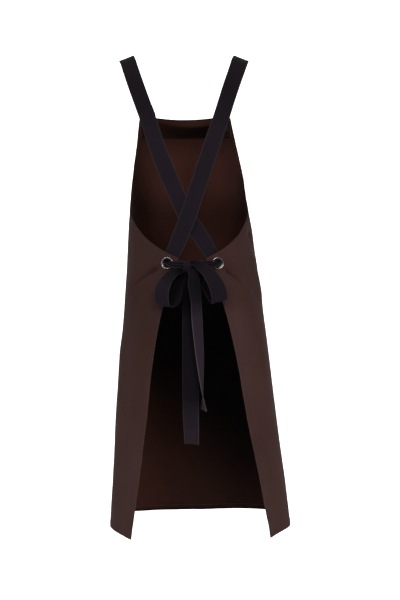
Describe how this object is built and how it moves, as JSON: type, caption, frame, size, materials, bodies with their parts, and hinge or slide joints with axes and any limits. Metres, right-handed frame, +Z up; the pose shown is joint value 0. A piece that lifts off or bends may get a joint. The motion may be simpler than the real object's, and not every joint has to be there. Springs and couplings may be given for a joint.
{
  "type": "cross-back bib apron",
  "caption": "Cotton canvas bib apron in its worn form, open at the back, with crossed tape straps passed through metal eyelets and tied in a bow.",
  "frame": {"origin": "on the shoulder line, midway between the two straps where they pass over the shoulders", "axes": "+Z up, +Y the way the wearer faces, +X to the wearer's right"},
  "size_m": [0.405, 0.2959, 1.0331],
  "materials": {
    "canvas": "matte plain-weave cotton canvas, dark brown",
    "canvas_inside": "matte plain-weave cotton canvas, dark brown",
    "tape": "matte woven cotton tape, near black",
    "nickel": "polished nickel plate"
  },
  "bodies": {
    "root": {"apron_panel": "canvas", "bib_facing": "canvas_inside", "eyelet_left": "nickel", "eyelet_right": "nickel", "bow_knot": "tape", "strap_left": "tape", "strap_right": "tape", "bow_loop_left": "tape", "bow_loop_right": "tape", "bow_tail_left": "tape", "bow_tail_right": "tape"}
  },
  "joints": []
}
